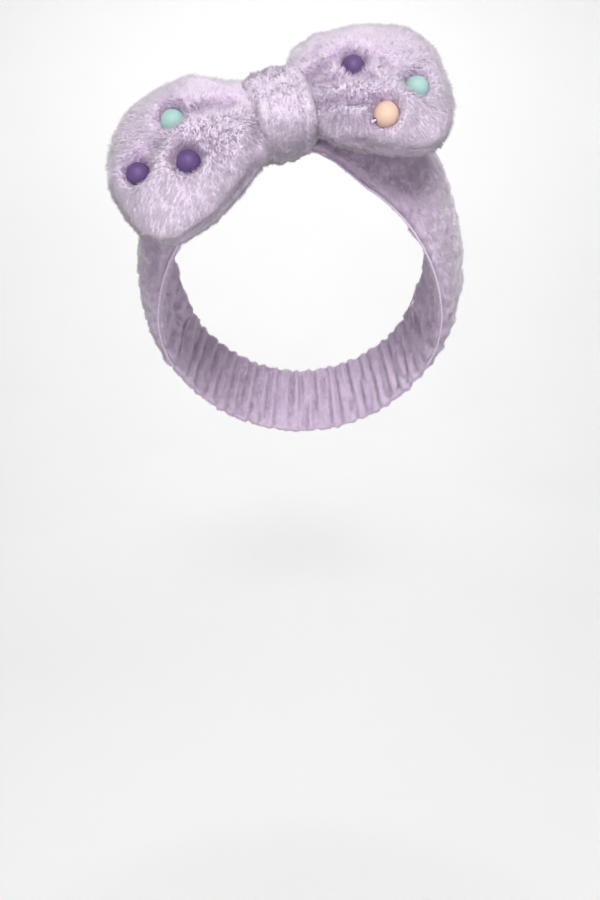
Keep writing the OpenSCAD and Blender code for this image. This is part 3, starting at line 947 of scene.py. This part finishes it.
def make_band():
    skin = tube("band_fleece", -PANEL_END, PANEL_END, 420, 84, PILE_ROOM, band_folds)
    roughen(skin, 18, 0.6, 5)
    roughen(skin, 7, 0.3, 6)
    # The band's cloth is the darker copy: painted shade
    skin.data.materials.append(PAINTED_SHADE_CLOTH)
    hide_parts("band_outer_panel", "band_inner_panel", "band_padding")
    blend_rear(skin)

    def outer_half(sign):
        def keep(root, up):
            return (root[:, 0] * sign > 0) & ~under_wrap(root) & (outward_of(root, up) > -0.3)

        return keep

    def inner(root, up):
        return (outward_of(root, up) <= -0.3) & ~under_wrap(root)

    # shade darkens the band's strands as painted shade, those inside the loop the most
    left = grow_pile("left_band_pile", skin, 3.4, 2.0, band_comb, 99, keep=outer_half(-1), shade=0.9)
    right = grow_pile("right_band_pile", skin, 3.4, 2.0, band_comb, 101, keep=outer_half(1), shade=0.9)
    inside = grow_pile("inner_band_pile", skin, 1.6, 1.8, band_comb, 110, width=0.5, keep=inner, shade=1.0)
    for pile in (left, right, inside):
        blend_rear(pile)


def make_rear():
    skin = tube("rear_fleece", PANEL_END - 2, 362 - PANEL_END, 420, 60, PILE_ROOM + 0.2, rear_folds)
    # The sleeve's cloth is the darker copy: painted shade
    skin.data.materials.append(PAINTED_SHADE_CLOTH)
    roughen(skin, 9, 0.5, 8)
    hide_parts("rear_sleeve_outer", "rear_sleeve_inner")
    blend_rear(skin)
    # shade darkens the sleeve's strands as painted shade
    blend_rear(grow_pile("rear_pile", skin, 2.4, 1.8, band_comb, 120, width=0.45, shade=0.9))


def make_lobes():
    for side, body, beads, creases, seed in (
        (-1, "left_lobe", LEFT_BEADS, LEFT_CREASES, 41),
        (1, "right_lobe", RIGHT_BEADS, RIGHT_CREASES, 43),
    ):
        skin = make_lobe(side, body + "_fleece", beads, creases, seed)
        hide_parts(body + "_front_panel", body + "_back_panel", body + "_filling")
        centres = [bead_centre(bead) for bead in beads]

        # Strands in the lobe's folds and round its beads are darkened as painted shade
        def dark(root):
            return painted_fold_shade(root, side, beads, creases)

        pile = grow_pile(
            body + "_pile", skin, 4.8, 2.6, lobe_comb(side), seed + 90, width=0.34, lean=1.2, curl=0.12,
            avoid=centres, dark=dark,
        )
        seam = lobe_seam(side, body + "_seam")
        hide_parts(body + "_edge_seam")
        for piece in (skin, pile, seam):
            blend_lobe(piece)


def make_knot_and_pile():
    skin = make_knot()

    def shown(root, up):
        local = (root - BOW_AT) @ BOW_TURN
        return (local[:, 2] > 2) | (np.abs(local[:, 1]) > 9)

    pile = grow_pile("knot_pile", skin, 5, 1.8, knot_comb, 140, keep=shown, lean=1.3, curl=0.25)
    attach(skin, "band")
    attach(pile, "band")


def dress_cad():
    """Better materials for the CAD nodes that stay."""
    mint = bead_material("mint_bead_matte", (0.40, 0.61, 0.57), (0.35, 0.55, 0.51))
    purple = bead_material("purple_bead_matte", (0.14, 0.08, 0.23), (0.11, 0.06, 0.19))
    peach = bead_material("peach_bead_matte", (0.80, 0.58, 0.45), (0.74, 0.51, 0.39))
    elastic = elastic_material()
    for name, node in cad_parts.items():
        if "mint" in name:
            finish = mint
        elif "purple" in name:
            finish = purple
        elif "peach" in name:
            finish = peach
        elif name == "elastic_strip":
            finish = elastic
        else:
            finish = THREAD
        for slot in node.material_slots:
            slot.material = finish


# ---------------------------------------------------------------- stage

def make_backdrop():
    """A white bowl: floor and walls in one curve, so that no horizon shows from any side."""
    floor_z, radius, wall, corner, steps, spokes = -360.0, 2200.0, 2600.0, 1100.0, 14, 96
    profile = [(1.0, floor_z), (radius - corner, floor_z)]
    for k in range(1, steps + 1):
        a = math.pi / 2 * k / steps
        profile.append((radius - corner + corner * math.sin(a), floor_z + corner * (1 - math.cos(a))))
    profile.append((radius, wall))
    rings = np.array(profile)
    angle = np.linspace(0, 2 * math.pi, spokes, endpoint=False)
    x, y = rings[:, :1] * np.cos(angle), rings[:, :1] * np.sin(angle)
    points = np.stack([x, y, rings[:, 1:] + np.zeros((1, spokes))], axis=-1)
    obj = new_mesh("backdrop", points.reshape(-1, 3), grid_faces(len(rings), spokes, False, True))
    fill_rings(obj, spokes, (0,))
    material, tree, shader = node_material("backdrop_paper")
    paper = noise(tree, 3, 2)
    white = ramp(tree, paper.outputs["Fac"], [(0.3, (0.9, 0.9, 0.9)), (0.7, (0.92, 0.92, 0.92))])
    tree.links.new(white, shader.inputs["Base Color"])
    shader.inputs["Roughness"].default_value = 0.95
    shader.inputs["Specular IOR Level"].default_value = 0.0
    shader.inputs["Emission Color"].default_value = (1, 1, 1, 1)
    shader.inputs["Emission Strength"].default_value = 0.05
    obj.data.materials.append(material)


def area_light(name, place, target, size, power):
    light = bpy.data.lights.new(name, "AREA")
    light.shape = "DISK"
    light.size = size
    light.energy = power
    obj = bpy.data.objects.new(name, light)
    bpy.context.scene.collection.objects.link(obj)
    obj.location = place
    obj.rotation_euler = (Vector(target) - Vector(place)).to_track_quat("-Z", "Y").to_euler()


def make_light():
    world = bpy.data.worlds.new("studio")
    bpy.context.scene.world = world
    world.use_nodes = True
    background = world.node_tree.nodes["Background"]
    background.inputs["Color"].default_value = (1.0, 1.0, 1.0, 1)
    background.inputs["Strength"].default_value = 0.08
    area_light("key", (0.04, -0.95, 0.42), (0, -0.05, 0.03), 0.35, 8.0)
    area_light("wall_wash", (0, 0.7, 1.5), (0, 2.0, -0.2), 1.0, 19)


def make_camera():
    camera = bpy.data.cameras.new("camera")
    camera.lens = 24
    camera.sensor_width = 36
    obj = bpy.data.objects.new("camera", camera)
    bpy.context.scene.collection.objects.link(obj)
    obj.location = (0, -0.360, -0.042)
    obj.rotation_euler = (math.radians(81.7), 0, 0)
    bpy.context.scene.camera = obj


def main():
    bpy.context.scene.view_settings.view_transform = "Standard"
    make_camera()
    make_light()
    make_backdrop()
    dress_cad()
    make_band()
    make_rear()
    make_knot_and_pile()
    make_lobes()


main()
bpy.context.view_layer.update()
